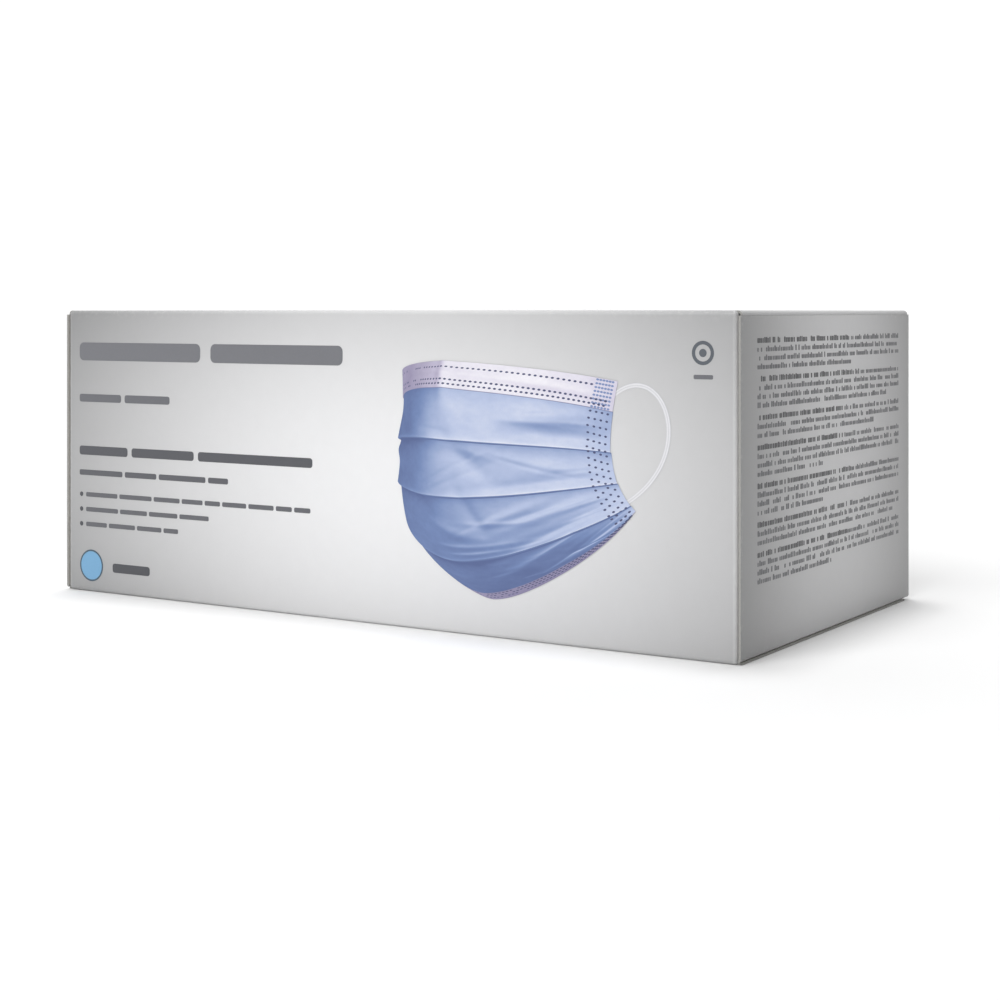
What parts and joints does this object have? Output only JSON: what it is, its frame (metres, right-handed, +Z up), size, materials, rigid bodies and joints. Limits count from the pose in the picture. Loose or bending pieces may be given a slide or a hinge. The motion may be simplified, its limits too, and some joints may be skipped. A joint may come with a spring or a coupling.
{
  "type": "folding carton for surgical face masks",
  "caption": "Closed rectangular folding carton of printed board, with tuck-in end lids over dust flaps, sized to hold a stack of pleated face masks.",
  "frame": {"origin": "middle of the base, on the surface that the carton stands on", "axes": "+X along the carton's length towards its right-hand end, -Y out of the printed front, +Z up"},
  "size_m": [0.19, 0.1, 0.072],
  "materials": {
    "printed_board": "coated white folding board, printed light grey, satin dispersion varnish",
    "plain_board": "uncoated folding board, matt"
  },
  "bodies": {
    "carton": {"carton_tube": "printed_board"},
    "right_lid": {"right_lid": "printed_board"},
    "left_lid": {"left_lid": "printed_board"},
    "right_front_dust_flap": {"right_front_dust_flap": "plain_board"},
    "right_back_dust_flap": {"right_back_dust_flap": "plain_board"},
    "left_front_dust_flap": {"left_front_dust_flap": "plain_board"},
    "left_back_dust_flap": {"left_back_dust_flap": "plain_board"}
  },
  "joints": [
    {"name": "right_lid_crease", "type": "hinge", "parent": "carton", "child": "right_lid", "pos_m": [0.095, 0, 0.071], "axis": [0, -1, 0], "range_deg": [0, 180]},
    {"name": "left_lid_crease", "type": "hinge", "parent": "carton", "child": "left_lid", "pos_m": [-0.095, 0, 0.071], "axis": [0, 1, 0], "range_deg": [0, 180]},
    {"name": "right_front_flap_crease", "type": "hinge", "parent": "carton", "child": "right_front_dust_flap", "pos_m": [0.0937, -0.049, 0], "axis": [0, 0, 1], "range_deg": [0, 88]},
    {"name": "right_back_flap_crease", "type": "hinge", "parent": "carton", "child": "right_back_dust_flap", "pos_m": [0.0937, 0.049, 0], "axis": [0, 0, -1], "range_deg": [0, 88]},
    {"name": "left_front_flap_crease", "type": "hinge", "parent": "carton", "child": "left_front_dust_flap", "pos_m": [-0.0937, -0.049, 0], "axis": [0, 0, -1], "range_deg": [0, 88]},
    {"name": "left_back_flap_crease", "type": "hinge", "parent": "carton", "child": "left_back_dust_flap", "pos_m": [-0.0937, 0.049, 0], "axis": [0, 0, 1], "range_deg": [0, 88]}
  ]
}
